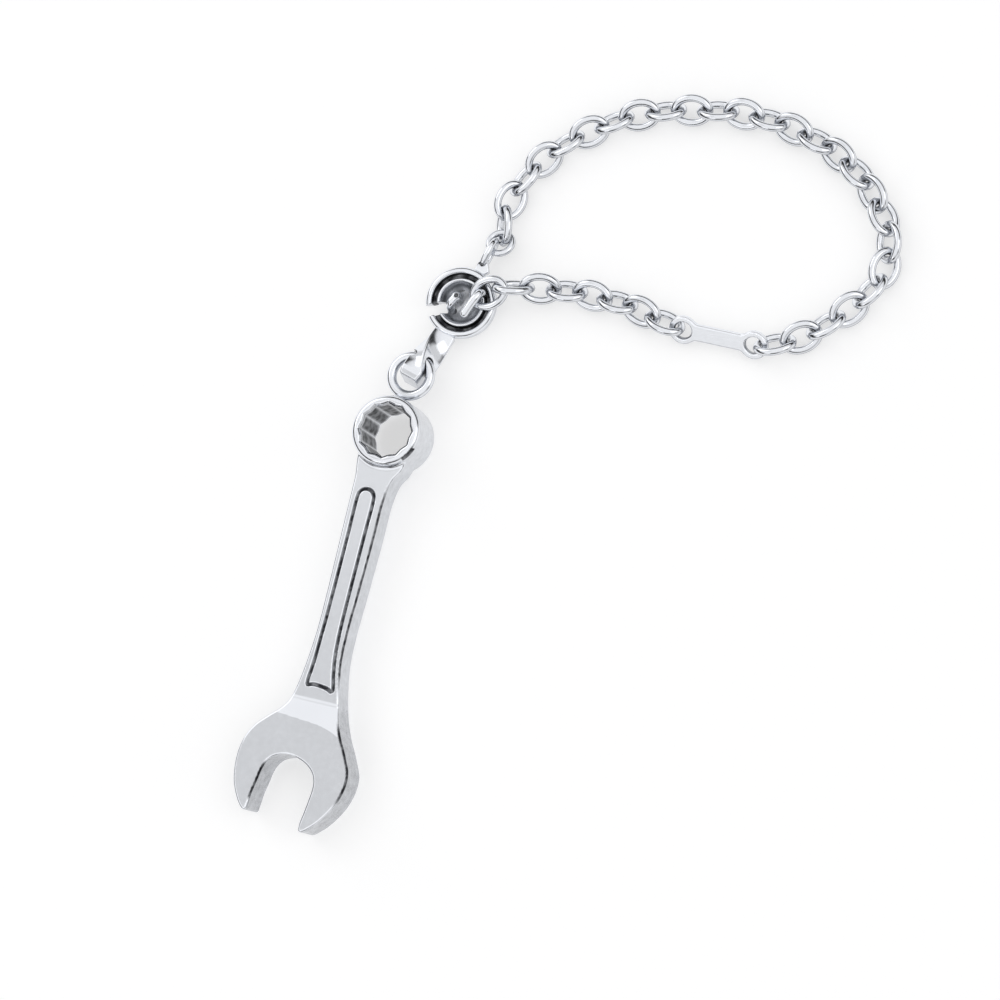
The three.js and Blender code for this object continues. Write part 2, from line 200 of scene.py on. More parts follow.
def surface(f, lo, hi, h):
    """Vertices, quads and normals of the zero level of f, on a grid of step h."""
    lo, hi = np.array(lo, float) - 2.5 * h, np.array(hi, float) + 2.5 * h
    nb = np.ceil((hi - lo) / (4 * h)).astype(int)
    cs = [lo[k] + (np.arange(nb[k]) * 4 + 1.5) * h for k in range(3)]
    c = np.stack(np.meshgrid(*cs, indexing="ij"), -1).reshape(-1, 3)
    fc = f(c)
    D = fc.reshape(nb)
    for k in range(3):
        D = np.repeat(D, 4, axis=k)
    D = D.copy()
    act = np.argwhere((np.abs(fc) < 5.5 * h + 0.12).reshape(nb))
    o = np.stack(np.meshgrid(*[np.arange(4)] * 3, indexing="ij"), -1).reshape(-1, 3)
    for s in range(0, len(act), 3000):
        i = (act[s:s + 3000, None, :] * 4 + o[None]).reshape(-1, 3)
        D[i[:, 0], i[:, 1], i[:, 2]] = f(lo + i * h)
    S = D < 0
    n = D.shape
    cnt = np.zeros([k - 1 for k in n], np.int8)
    corners = [(a, b, c_) for a in (0, 1) for b in (0, 1) for c_ in (0, 1)]
    for a, b, c_ in corners:
        cnt += S[a:n[0] - 1 + a, b:n[1] - 1 + b, c_:n[2] - 1 + c_]
    cells = np.argwhere((cnt > 0) & (cnt < 8))
    index = np.full(cnt.shape, -1, np.int64)
    index[cells[:, 0], cells[:, 1], cells[:, 2]] = np.arange(len(cells))
    acc = np.zeros((len(cells), 3))
    num = np.zeros(len(cells))
    for i, ci in enumerate(corners):
        for cj in corners[i + 1:]:
            if sum(abs(a - b) for a, b in zip(ci, cj)) != 1:
                continue
            va = D[cells[:, 0] + ci[0], cells[:, 1] + ci[1], cells[:, 2] + ci[2]]
            vb = D[cells[:, 0] + cj[0], cells[:, 1] + cj[1], cells[:, 2] + cj[2]]
            cross = (va < 0) != (vb < 0)
            t = np.where(cross, va / np.where(cross, va - vb, 1), 0)
            q = np.array(ci)[None] + t[:, None] * (np.array(cj) - np.array(ci))[None]
            acc += q * cross[:, None]
            num += cross
    V = lo + (cells + acc / num[:, None]) * h
    quads = []
    for ax in range(3):
        b, c_ = (ax + 1) % 3, (ax + 2) % 3
        s0 = [slice(None)] * 3
        s1 = [slice(None)] * 3
        s0[ax], s1[ax] = slice(0, n[ax] - 1), slice(1, n[ax])
        e = np.argwhere(S[tuple(s0)] != S[tuple(s1)])
        e = e[(e[:, b] > 0) & (e[:, c_] > 0) & (e[:, b] < n[b] - 1) & (e[:, c_] < n[c_] - 1)]
        ring = []
        for db, dc in ((-1, -1), (0, -1), (0, 0), (-1, 0)):
            q = e.copy()
            q[:, b] += db
            q[:, c_] += dc
            ring.append(index[q[:, 0], q[:, 1], q[:, 2]])
        ring = np.stack(ring, 1)
        out = S[e[:, 0], e[:, 1], e[:, 2]]
        ring[~out] = ring[~out][:, ::-1]
        quads.append(ring)
    quads = np.vstack(quads)
    quads = quads[(quads >= 0).all(1)]
    for _ in range(3):
        g = grad(f, V)
        d = f(V)
        move = d[:, None] * g / np.maximum(np.einsum("ij,ij->i", g, g), 0.2)[:, None]
        ln = np.linalg.norm(move, axis=1)
        V -= move * np.minimum(1, 0.4 * h / np.maximum(ln, 1e-9))[:, None]
    g = grad(f, V, 0.012)
    return V, quads, g / np.maximum(np.linalg.norm(g, axis=1), 1e-9)[:, None]


# ------------------------------------------------------------------- meshes
def build(name, V, F, N, M, dark, mat, body, *nodes, slot=None, flank_shade=0.28):
    """A smooth mesh, given in mm in its own frame M, that stands for CAD nodes."""
    # painted shade: the sides that face away from the sky are painted a little darker
    up = (N @ M[:3, :3].T)[:, 2]
    dark = np.maximum(np.broadcast_to(dark, up.shape), flank_shade * (1 - step(0.05, 0.75, up)))
    V = V @ M[:3, :3].T + M[:3, 3]
    me = bpy.data.meshes.new(name)
    F = np.asarray(F)
    me.vertices.add(len(V))
    me.vertices.foreach_set("co", (V * MM).astype(np.float32).ravel())
    me.loops.add(F.size)
    me.loops.foreach_set("vertex_index", F.astype(np.int32).ravel())
    me.polygons.add(len(F))
    me.polygons.foreach_set("loop_start", np.arange(0, F.size, F.shape[1], dtype=np.int32))
    me.update(calc_edges=True)
    me.validate()
    me.polygons.foreach_set("use_smooth", np.ones(len(me.polygons), bool))
    if N is not None and len(me.vertices) == len(V):
        me.normals_split_custom_set_from_vertices((N @ M[:3, :3].T).tolist())
    at = me.attributes.new("dark", "FLOAT", "POINT")
    at.data.foreach_set("value", np.asarray(dark, np.float32))
    ob = bpy.data.objects.new(name, me)
    bpy.context.scene.collection.objects.link(ob)
    me.materials.append(mat)
    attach(ob, body)
    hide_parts(*nodes)
    return ob


def tube_ring(a, b, wire, nu, nv, squash=1.0):
    """Vertices, quads and normals of a wire ring round an ellipse."""
    u = np.linspace(0, 2 * np.pi, nu, endpoint=False)
    v = np.linspace(0, 2 * np.pi, nv, endpoint=False)
    U, W = np.meshgrid(u, v, indexing="ij")
    nx, ny = b * np.cos(U), a * np.sin(U)
    l = np.hypot(nx, ny)
    nx, ny = nx / l, ny / l
    V = np.stack([a * np.cos(U) + wire * np.cos(W) * nx, b * np.sin(U) + wire * np.cos(W) * ny,
                  wire * squash * np.sin(W)], -1).reshape(-1, 3)
    N = np.stack([np.cos(W) * nx, np.cos(W) * ny, np.sin(W) / squash], -1).reshape(-1, 3)
    N /= np.linalg.norm(N, axis=1)[:, None]
    i, j = np.meshgrid(np.arange(nu), np.arange(nv), indexing="ij")
    i2, j2 = (i + 1) % nu, (j + 1) % nv
    F = np.stack([i * nv + j, i2 * nv + j, i2 * nv + j2, i * nv + j2], -1).reshape(-1, 4)
    return V, F, N, U.ravel(), W.ravel()


def node_frame(node):
    """Centre and axes of a ring or plate, from its own CAD mesh, in mm: x the longest way, z its normal."""
    me = frame["nodes"][node].data
    co = np.empty(len(me.vertices) * 3, np.float32)
    me.vertices.foreach_get("co", co)
    co = np.unique(np.round(co.reshape(-1, 3).astype(float) * 1000, 4), axis=0)
    c = (co.max(0) + co.min(0)) / 2
    c = co.mean(0)
    w, v = np.linalg.eigh(np.cov((co - c).T))
    z = v[:, 0] * (1 if v[2, 0] >= 0 else -1)
    x = v[:, 2] * (1 if v[0, 2] >= 0 else -1)
    return frame_matrix(x, z, c)


# ---------------------------------------------------------------- materials
def silver(name, rough=0.13, tint=(0.885, 0.905, 0.945), scratch=0.05, grain=1.0):
    """Polished silver, painted toward near black by the 'dark' mask of painted shade and painted dark reflections,
    with fine scratches and uneven polish.
    """
    mat = bpy.data.materials.new(name)
    mat.use_nodes = True
    nt = mat.node_tree
    nt.nodes.clear()
    new = nt.nodes.new
    link = nt.links.new
    out = new("ShaderNodeOutputMaterial")
    bsdf = new("ShaderNodeBsdfPrincipled")
    bsdf.inputs["Metallic"].default_value = 1.0
    link(bsdf.outputs[0], out.inputs[0])
    tc = new("ShaderNodeTexCoord")
    mp = new("ShaderNodeMapping")
    mp.inputs["Scale"].default_value = (1000, 1000, 1000)
    link(tc.outputs["Object"], mp.inputs[0])
    at = new("ShaderNodeAttribute")
    at.attribute_name = "dark"
    n1 = new("ShaderNodeTexNoise")
    n1.inputs["Scale"].default_value = 1.3 * grain
    n1.inputs["Detail"].default_value = 6
    link(mp.outputs[0], n1.inputs["Vector"])
    # painted shade and painted dark reflections: the 'dark' mask, broken up by noise
    r1 = new("ShaderNodeMapRange")
    r1.inputs["From Min"].default_value = 0.3
    r1.inputs["From Max"].default_value = 0.7
    r1.inputs["To Min"].default_value = 0.75
    r1.inputs["To Max"].default_value = 1.15
    link(n1.outputs[0], r1.inputs["Value"])
    mul = new("ShaderNodeMath")
    mul.operation = "MULTIPLY"
    mul.use_clamp = True
    link(at.outputs["Fac"], mul.inputs[0])
    link(r1.outputs[0], mul.inputs[1])
    # faint tarnish over the open surface
    n2 = new("ShaderNodeTexNoise")
    n2.inputs["Scale"].default_value = 0.35 * grain
    n2.inputs["Detail"].default_value = 4
    link(mp.outputs[0], n2.inputs["Vector"])
    r2 = new("ShaderNodeMapRange")
    r2.inputs["From Min"].default_value = 0.35
    r2.inputs["From Max"].default_value = 0.75
    r2.inputs["To Min"].default_value = 0.0
    r2.inputs["To Max"].default_value = 0.10
    link(n2.outputs[0], r2.inputs["Value"])
    mix0 = new("ShaderNodeMix")
    mix0.data_type = "RGBA"
    mix0.inputs[6].default_value = (*tint, 1)
    mix0.inputs[7].default_value = (0.72, 0.73, 0.755, 1)
    link(r2.outputs[0], mix0.inputs[0])
    mix = new("ShaderNodeMix")
    mix.data_type = "RGBA"
    mix.inputs[7].default_value = (0.028, 0.029, 0.033, 1)
    link(mul.outputs[0], mix.inputs[0])
    link(mix0.outputs[2], mix.inputs[6])
    link(mix.outputs[2], bsdf.inputs["Base Color"])
    # uneven polish
    n3 = new("ShaderNodeTexNoise")
    n3.inputs["Scale"].default_value = 2.2 * grain
    n3.inputs["Detail"].default_value = 5
    link(mp.outputs[0], n3.inputs["Vector"])
    r3 = new("ShaderNodeMapRange")
    r3.inputs["From Min"].default_value = 0.3
    r3.inputs["From Max"].default_value = 0.7
    r3.inputs["To Min"].default_value = rough * 0.7
    r3.inputs["To Max"].default_value = rough * 1.35
    link(n3.outputs[0], r3.inputs["Value"])
    add = new("ShaderNodeMath")
    add.operation = "MULTIPLY_ADD"
    add.inputs[1].default_value = 0.32
    link(mul.outputs[0], add.inputs[0])
    link(r3.outputs[0], add.inputs[2])
    link(add.outputs[0], bsdf.inputs["Roughness"])
    # fine scratches in two directions
    last = None
    for k, (rot, sc) in enumerate((((0.1, 0.2, 0.5), (0.6, 14, 14)), ((0.3, -0.2, -0.9), (0.5, 11, 12)))):
        m2 = new("ShaderNodeMapping")
        m2.inputs["Rotation"].default_value = rot
        m2.inputs["Scale"].default_value = sc
        link(mp.outputs[0], m2.inputs[0])
        s = new("ShaderNodeTexNoise")
        s.inputs["Scale"].default_value = 1.0
        s.inputs["Detail"].default_value = 3
        link(m2.outputs[0], s.inputs["Vector"])
        rr = new("ShaderNodeMapRange")
        rr.inputs["From Min"].default_value = 0.60
        rr.inputs["From Max"].default_value = 0.72
        link(s.outputs[0], rr.inputs["Value"])
        if last is None:
            last = rr.outputs[0]
        else:
            ad = new("ShaderNodeMath")
            ad.operation = "ADD"
            link(last, ad.inputs[0])
            link(rr.outputs[0], ad.inputs[1])
            last = ad.outputs[0]
    bump = new("ShaderNodeBump")
    bump.inputs["Strength"].default_value = scratch
    bump.inputs["Distance"].default_value = 0.000012
    bump.invert = True
    link(last, bump.inputs["Height"])
    link(bump.outputs[0], bsdf.inputs["Normal"])
    return mat


M_SPANNER = silver("spanner_silver", 0.12, scratch=0.05)
M_LOOP = silver("loop_silver", 0.11)
M_CLASP = silver("clasp_silver", 0.12, scratch=0.06)
M_LINER = silver("liner_silver", 0.16, scratch=0.06)
M_BAIL = silver("bail_silver", 0.13, scratch=0.05)
M_LINK = silver("chain_silver", 0.10, (0.845, 0.865, 0.905), grain=1.4, scratch=0.04)
M_TAG = silver("tag_silver", 0.12, scratch=0.05)

# ------------------------------------------------------------------ spanner
JAW = Outline(catmull([
    (-2.96, -28.3), (-3.2, -30.0), (-3.60, -31.2), (-4.25, -32.2), (-5.45, -33.35), (-6.55, -34.5),
    (-7.30, -35.8), (-7.68, -37.1), (-7.78, -38.5), (-7.66, -39.9), (-7.35, -41.2), (-6.85, -42.3),
    (-6.2, -43.3), (-5.6, -43.85), (-5.2, -43.8), (-5.08, -43.2),
    (-4.95, -41.7), (-4.72, -40.4), (-4.50, -39.1), (-4.20, -38.3), (-3.70, -37.65), (-3.0, -37.25),
    (-2.1, -37.0), (-1.1, -37.05), (-0.2, -37.3), (0.65, -37.75), (1.3, -38.4), (1.65, -39.2),
    (1.72, -40.1), (1.62, -41.2), (1.45, -42.6), (1.25, -44.1), (1.32, -44.7), (1.7, -44.8),
    (2.8, -43.95), (3.75, -42.85), (4.6, -41.5), (5.15, -40.1), (5.4, -38.7), (5.3, -37.4),
    (4.72, -36.1), (4.1, -34.95), (3.5, -33.9), (2.85, -32.4), (2.3, -30.7), (1.9, -29.1), (1.75, -28.3)], 300))
SHANK = Outline(catmull([
    (-2.6, -2.0), (-2.6, -6.0), (-2.54, -12.0), (-2.46, -18.0), (-2.48, -23.0), (-2.74, -26.5),
    (-2.98, -28.5), (-3.25, -30.0), (-3.60, -31.2), (-4.25, -32.2), (-4.6, -33.0), (3.1, -33.0),
    (2.85, -32.4), (2.3, -30.7), (1.9, -29.1), (1.55, -27.5), (1.25, -25.5),
    (1.16, -22.5), (1.28, -18.0), (1.4, -12.0), (1.45, -7.2), (1.85, -5.2), (2.6, -3.9), (2.7, -2.0)], 260))
_panel = [(-1.68, -7.6), (-1.66, -12.5), (-1.68, -18.0), (-1.76, -23.5), (-1.86, -26.8), (-2.0, -28.7), (-1.9, -29.0),
          (-1.2, -28.86), (-0.3, -28.9), (0.5, -29.05), (1.0, -29.25), (1.1, -29.1),
          (0.72, -27.3), (0.38, -25.2), (0.22, -22.0), (0.2, -17.0), (0.22, -12.0), (0.22, -7.6)]
_panel += [(-0.73 + 0.95 * math.cos(i / 6 * math.pi), -7.6 + 0.95 * math.sin(i / 6 * math.pi)) for i in range(1, 6)]
PANEL = Outline(catmull(_panel, 220))
HOLE_R = 2.98
_star = []
for i in range(24):
    a = math.radians(i * 15 + 7)
    r = HOLE_R * 0.938 if i % 2 else HOLE_R * 1.005
    _star.append((r * math.cos(a), r * math.sin(a)))
STAR = Outline(_star, h=0)


def jaw_half(x, y):
    """Half thickness of the jaw: it rises from the shank's level along an arc."""
    arc = -33.02 - 0.075 * x - 0.062 * np.maximum(x, 0) ** 2
    t = np.clip((-30.8 - y) / (-30.8 - arc), 0, 1)
    return 1.7 + 0.40 * t - 0.35 * step(-30.8, -29.4, y)


def spanner_field(p):
    x, y, z = p[:, 0], p[:, 1], p[:, 2]
    az = np.abs(z)
    d = np.full(len(p), 9.0)
    near = y < -26
    shank = rext(SHANK(x, y), az - 1.7, 0.28)
    if near.any():
        j = rext(JAW(x[near], y[near]), az[near] - jaw_half(x[near], y[near]), 0.26)
        d[near] = j
        d[near] = smin(d[near], shank[near], 0.10)
        d[~near] = shank[~near]
    else:
        d = shank
    rho = np.hypot(x, y)
    boss = rext(rho - 3.98 + 0.03 * (z / 3) ** 2, az - 3.05, 0.62)
    d = smin(d, boss, 0.45)
    hole = STAR(x, y) - np.clip((az - 2.75) * 0.8, 0, 0.3)
    d = smax(d, -hole, 0.14)
    top = (z > 0.8) & (y < -5.5) & (y > -30.2)
    if top.any():
        g = np.hypot(PANEL(x[top], y[top]), z[top] - 1.70) - 0.20
        d[top] = smax(d[top], -g, 0.08)
    return d


lo, hi = np.array([-8.0, -45.1, -3.1]), np.array([5.6, 4.1, 3.1])
V, F, N = surface(spanner_field, lo, hi, 0.10)
x, y, z = V.T
# painted shade: the groove round the panel on the top face is painted near black
g = np.where((z > 1.2) & (y < -5.5) & (y > -30.2), np.abs(PANEL(x, y)), 9)
dark = 0.97 * (1 - step(0.11, 0.21, g)) * step(1.2, 1.5, z)
# painted shade: the side walls are painted greyer than the polished faces, more so at the jaw and less near the boss
wall = 1 - step(0.25, 0.75, np.abs(N[:, 2]))
dark = np.maximum(dark, wall * (0.30 + 0.16 * step(-28.0, -33.0, y) - 0.06 * step(-6.0, -2.0, y)))
rho = np.hypot(x, y)
# painted shade inside the star hole, away from its two openings
dark = np.maximum(dark, 0.90 * (1 - step(2.88, 3.04, rho)) * (1 - step(2.2, 2.75, np.abs(z))))
# narrow dark reflections that follow the edges of the polished flats
for outline, box, top_z, reach in (
        (SHANK, (0.5, 2.4, -30.2, -4.6), 1.48, 0.15),
        (JAW, (2.6, 6.0, -41.6, -32.0), 1.86, 0.20),
        (JAW, (-5.4, -3.9, -42.9, -38.0), 1.86, 0.17)):
    inb = (x > box[0]) & (x < box[1]) & (y > box[2]) & (y < box[3]) & (z > 1.3)
    d_ = outline(x[inb], y[inb])
    u_ = (y[inb] - box[2]) / (box[3] - box[2])
    taper = step(0.0, 0.14, u_) * (1 - step(0.86, 1.0, u_))
    band = (1 - step(reach * 0.5, reach, np.abs(d_ + 0.10))) * step(top_z - 0.12, top_z, z[inb])
    dark[inb] = np.maximum(dark[inb], 0.95 * taper * band)
# painted dark reflection along part of the boss's rounded top edge
arc = (np.abs(rho - 3.86) < 0.16) & (z > 2.4)
aa = np.degrees(np.arctan2(y, x))
dark = np.where(arc & (aa > -47) & (aa < -20), np.maximum(dark, 0.9), dark)
build("spanner", V, F, N, SPANNER_M, dark, M_SPANNER, "spanner", "spanner_body", slot="spanner_silver", flank_shade=0.0)

V, F, N, U, W = tube_ring(LOOP_R, LOOP_R, LOOP_WIRE, 96, 32)
M = SPANNER_M.copy()
M[:3, 3] = SPANNER_M[:3, :3] @ np.array([LOOP_X, LOOP_Y, 0]) + SPANNER_M[:3, 3]
# painted shade on the inner side of the wire, where the ring meets the spanner's boss
joint_shade = 0.55 * np.exp(-((np.angle(np.exp(1j * (U + math.pi / 2))) / 0.34) ** 2)) * step(-0.2, 0.7, np.cos(W) * -1)
build("loop_ring", V, F, N, M, joint_shade, M_LOOP, "spanner", "spanner_loop", slot="spanner_silver")

# -------------------------------------------------------------------- clasp
SLOT_A = math.radians(193)


def slot_cut(p, w=0.62):
    c, s = math.cos(SLOT_A), math.sin(SLOT_A)
    u, v = p[:, 0] * c + p[:, 1] * s, -p[:, 0] * s + p[:, 1] * c
    return np.maximum(np.abs(v) - w, 1.85 - u)


SHELL = Outline(catmull([
    (2.78, -1.66), (2.95, -1.70), (3.1, -1.68), (3.4, -1.5), (3.66, -1.25), (3.90, -0.8), (4.00, -0.4), (4.03, 0.0), (3.97, 0.40),
    (3.80, 0.66), (3.57, 0.77), (3.37, 0.73), (3.25, 0.55), (3.24, 0.3), (3.24, -0.25), (3.18, -0.3), (2.82, -0.3), (2.77, -0.36)], 160))
LINER = Outline(catmull([
    (0.0, -1.66), (2.6, -1.66), (2.70, -1.6), (2.72, -1.0), (2.72, 0.3), (2.70, 0.48), (2.60, 0.60), (2.44, 0.57), (2.29, 0.36), (2.14, -0.05),
    (1.95, -0.6), (1.55, -1.0), (1.1, -1.22), (0.5, -1.30), (-0.2, -1.31), (-0.2, -1.66)], 160))


def shell_field(p):
    d = SHELL(np.hypot(p[:, 0], p[:, 1]), p[:, 2])
    return smax(d, -slot_cut(p), 0.16)


def liner_field(p):
    d = LINER(np.hypot(p[:, 0], p[:, 1]), p[:, 2])
    return smax(d, -slot_cut(p), 0.14)


V, F, N = surface(shell_field, (-4, -4, -1.75), (4, 4, 0.8), 0.075)
rho = np.hypot(V[:, 0], V[:, 1])
# painted shade: the shell's inner wall, in the gap round the liner, is painted near black
dark = 0.97 * (1 - step(3.22, 3.32, rho)) * (1 - step(0.42, 0.62, V[:, 2])) * step(-1.5, -1.2, V[:, 2])
build("cup_shell", V, F, N, CLASP_M, dark, M_CLASP, "clasp", "clasp_shell", slot="clasp_silver")
V, F, N = surface(liner_field, (-2.8, -2.8, -1.7), (2.8, 2.8, 0.65), 0.075)
rho = np.hypot(V[:, 0], V[:, 1])
# painted shade: the liner's outer wall below its lip is painted near black, and its sunken middle darker in three
# swirling streaks
dark = np.maximum(0.97 * step(2.66, 2.70, rho) * (1 - step(0.38, 0.52, V[:, 2])),
                  (0.34 + 0.24 * np.sin(3 * np.arctan2(V[:, 1], V[:, 0]) + 1.3 * rho) ** 2) * (1 - step(2.1, 2.32, rho)) * (1 - step(-0.1, 0.34, V[:, 2])) * step(-1.6, -1.4, V[:, 2]))
build("cup_liner", V, F, N, CLASP_M, dark, M_LINER, "clasp", "clasp_liner", slot="clasp_silver")

HOOK = catmull([(1.70, 0.58, -1.15), (1.9, 0.66, -0.5), (2.15, 0.72, 0.0), (2.48, 0.84, 0.9), (2.42, 0.86, 1.62), (2.0, 0.42, 2.0),
                (1.45, -0.25, 2.0), (0.62, -1.36, 1.8)], 44, closed=False)


def hook_field(p):
    return rope(p, HOOK, 0.45, 0.50)


V, F, N = surface(hook_field, HOOK.min(0) - 0.5, HOOK.max(0) + 0.5, 0.075)
# painted shade: the hook is painted darker towards its foot, low in the cup
dark = 0.8 * (1 - step(-1.0, -0.2, V[:, 2]))
build("hook_rod", V, F, N, CLASP_M, dark, M_LOOP, "clasp", "clasp_hook", slot="clasp_silver")

TAB = catmull([(-1.15, -0.75, -1.2), (-1.25, -0.62, -0.95), (-1.3, -0.35, -0.2), (-1.1, 0.1, 0.25), (-0.62, 0.68, 0.2)], 30, closed=False)


def tab_field(p):
    d = rope(p, TAB, 0.44, 0.50)
    d = smin(d, np.linalg.norm(p - [-0.55, 0.74, 0.16], axis=1) - 0.58, 0.12)
    return smax(d, -(np.linalg.norm(p - [-0.47, 0.78, 0.66], axis=1) - 0.22), 0.06)


V, F, N = surface(tab_field, (-1.9, -1.5, -1.75), (0.2, 1.5, 0.9), 0.065)
# painted shade in the small pit on the tab and on its lower part, low in the cup
dark = 0.8 * (1 - step(0.22, 0.32, np.linalg.norm(V - [-0.47, 0.78, 0.62], axis=1)))
dark = np.maximum(dark, 0.8 * (1 - step(-1.0, -0.4, V[:, 2])))
build("catch_tab", V, F, N, CLASP_M, dark, M_LOOP, "clasp", "clasp_tab", slot="clasp_silver")

GUSSET = Outline(catmull([(1.45, 3.5), (1.62, 3.98), (2.05, 4.72), (2.45, 4.95), (2.75, 4.93), (2.93, 4.6), (3.02, 4.0), (3.02, 3.3), (2.3, 3.1)], 90))
_t = np.linspace(0, 2 * np.pi, 49)
_eye = np.stack([1.65 * np.cos(_t) + 1.226, np.zeros(49), 1.1 * np.sin(_t)], 1)
_c, _s = math.cos(math.radians(61.27)), math.sin(math.radians(61.27))
EYE = np.stack([_eye[:, 0] * _c - _eye[:, 1] * _s + 2.35, _eye[:, 0] * _s + _eye[:, 1] * _c + 4.4, _eye[:, 2] - 0.85], 1)


def eyelet_field(p):
    d = rext(GUSSET(p[:, 0], p[:, 1]), np.abs(p[:, 2] + 0.5) - 0.55, 0.16)
    d = smin(d, rope(p, EYE, 0.395), 0.25)
    d = smax(d, 3.8 - np.hypot(p[:, 0], p[:, 1]), 0.05)
    dot = np.linalg.norm(p - [2.35, 4.25, 0.12], axis=1) - 0.20
    return smax(d, -dot, 0.04)


V, F, N = surface(eyelet_field, (1.2, 3.2, -2.4), (4.2, 7.4, 0.75), 0.07)
# painted shade in the small pit on the eyelet
dark = 0.8 * (1 - step(0.20, 0.3, np.linalg.norm(V - [2.35, 4.25, 0.10], axis=1)))
build("eyelet", V, F, N, CLASP_M, dark, M_CLASP, "clasp", "clasp_eyelet", slot="clasp_silver")

# strap: turns from flat to edgewise on its way to the loop ring
A, B = np.array([-1.75, -3.35, 0.0]), np.array([-5.25, -9.0, 1.8])
BL = np.linalg.norm(B - A)
bdir = (B - A) / BL
by = -bdir
bx = -np.cross([0, 0, 1], by)
bx /= np.linalg.norm(bx)
bz = np.cross(bx, by)
BR = np.stack([bx, by, bz], 1)
BO = (A + B) / 2
CLASP_TO_SPANNER = np.linalg.inv(SPANNER_M) @ CLASP_M


def ring_gap(p):
    q = p @ CLASP_TO_SPANNER[:3, :3].T + CLASP_TO_SPANNER[:3, 3] - [LOOP_X, LOOP_Y, 0]
    return np.hypot(np.hypot(q[:, 0], q[:, 1]) - LOOP_R, q[:, 2])


def bail_field(p):
    q = (p - BO) @ BR
    t = 0.5 - q[:, 1] / BL
    s = np.clip((t - 0.04) / 0.8, 0, 1)
    end = 1 - 0.10 * step(0.88, 1.0, t)
    w, h = (2.6 + 0.6 * s) * end, (1.3 + 1.15 * s) * end
    a = -s * math.radians(80)
    X, Z = q[:, 0] + 0.32 * s, q[:, 2]
    u, v = X * np.cos(a) + Z * np.sin(a), -X * np.sin(a) + Z * np.cos(a)
    d = rext(np.abs(u) - w / 2, np.abs(v) - h / 2, 0.24)
    d = rext(d, np.abs(q[:, 1]) - BL / 2, 0.22)
    d = smax(d, -(ring_gap(p) - 0.68), 0.10)
    return 0.8 * smax(d, 3.82 - np.hypot(p[:, 0], p[:, 1]), 0.05)


V, F, N = surface(bail_field, np.minimum(A, B) - 1.8, np.maximum(A, B) + 1.8, 0.08)
# painted shade where the loop ring passes through the strap
dark = 0.9 * (1 - step(0.70, 0.80, ring_gap(V)))
build("bail", V, F, N, CLASP_M, dark, M_BAIL, "clasp", "clasp_bail", slot="clasp_silver")

# -------------------------------------------------------------------- chain
JUMP_R, JUMP_WIRE = 1.34, 0.38
LINK_A, LINK_B, LINK_WIRE = 1.985, 1.43, 0.44
V, F, N, U, W = tube_ring(JUMP_R, JUMP_R, JUMP_WIRE, 72, 28)
# painted shade on the inner side of the jump ring's wire
build("jump", V, F, N, node_frame("jump_ring"), 0.25 * step(0.2, 0.9, -np.cos(W)), M_LINK, "jump_ring", "jump_ring", slot="chain_silver", flank_shade=0.45)
V, F, N, U, W = tube_ring(LINK_A, LINK_B, LINK_WIRE, 88, 28)
# painted shade on the inner side of each link's two ends, where the next links pass through
link_contact_shade = 0.85 * step(0.86, 0.99, np.abs(np.cos(U))) * step(0.1, 0.85, -np.cos(W))
for node in sorted(frame["nodes"]):
    if node.startswith("link_"):
        build("chain_" + node, V, F, N, node_frame(node), link_contact_shade, M_LINK, node, node, slot="chain_silver", flank_shade=0.45)

EYE_X, EYE_R, TAG_HOLE, BAR_W, TAG_T = 4.05, 1.62, 0.94, 1.9, 0.66


def tag_field(p):
    x, y, z = np.abs(p[:, 0]), p[:, 1], np.abs(p[:, 2])
    d = np.hypot(x - EYE_X, y) - EYE_R
    bar = np.maximum(np.abs(y) - BAR_W / 2, x - EYE_X)
    d = smin(d, bar, 0.35)
    d = rext(d, z - TAG_T / 2, 0.14)
    hole = TAG_HOLE + 0.10 * step(0.12, 0.33, z) - np.hypot(x - EYE_X, y)
    return smax(d, hole, 0.08)


V, F, N = surface(tag_field, (-5.8, -1.75, -0.4), (5.8, 1.75, 0.4), 0.075)
# painted shade on the walls of the tag's two holes
dark = 0.55 * (1 - step(TAG_HOLE + 0.02, TAG_HOLE + 0.12, np.hypot(np.abs(V[:, 0]) - EYE_X, V[:, 1])))
build("tag", V, F, N, node_frame("tag_plate"), dark, M_TAG, "tag_plate", "tag_plate", slot="tag_silver")

# -------------------------------------------------------------------- stage
bpy.ops.mesh.primitive_plane_add(size=3, location=(0, 0, 0))
floor = bpy.context.object
floor.name = "floor"
fm = bpy.data.materials.new("floor")
fm.use_nodes = True
fb = fm.node_tree.nodes["Principled BSDF"]
fb.inputs["Base Color"].default_value = (0.60, 0.60, 0.60, 1)
fb.inputs["Emission Color"].default_value = (1.0, 1.0, 1.0, 1)
fb.inputs["Emission Strength"].default_value = 0.50
fb.inputs["Roughness"].default_value = 0.9
fb.inputs["Specular IOR Level"].default_value = 0.1
floor.data.materials.append(fm)

target = (OFF + [12.890, -4.201, 0]) * MM
right = np.array([0.93028, 0.24726, -0.27099])
up = np.array([-0.19578, 0.95936, 0.20324])
back = np.array([0.31023, -0.13602, 0.94088])
cam = bpy.data.cameras.new("camera")
cam.lens = 114.545
cam.sensor_width = 36
cam.clip_start = 0.02
cam.clip_end = 20
co = bpy.data.objects.new("camera", cam)
bpy.context.scene.collection.objects.link(co)
m = Matrix.Identity(4)
for k in range(3):
    m[k][0], m[k][1], m[k][2] = right[k], up[k], back[k]
    m[k][3] = target[k] + 0.350 * back[k]
co.matrix_world = m
bpy.context.scene.camera = co


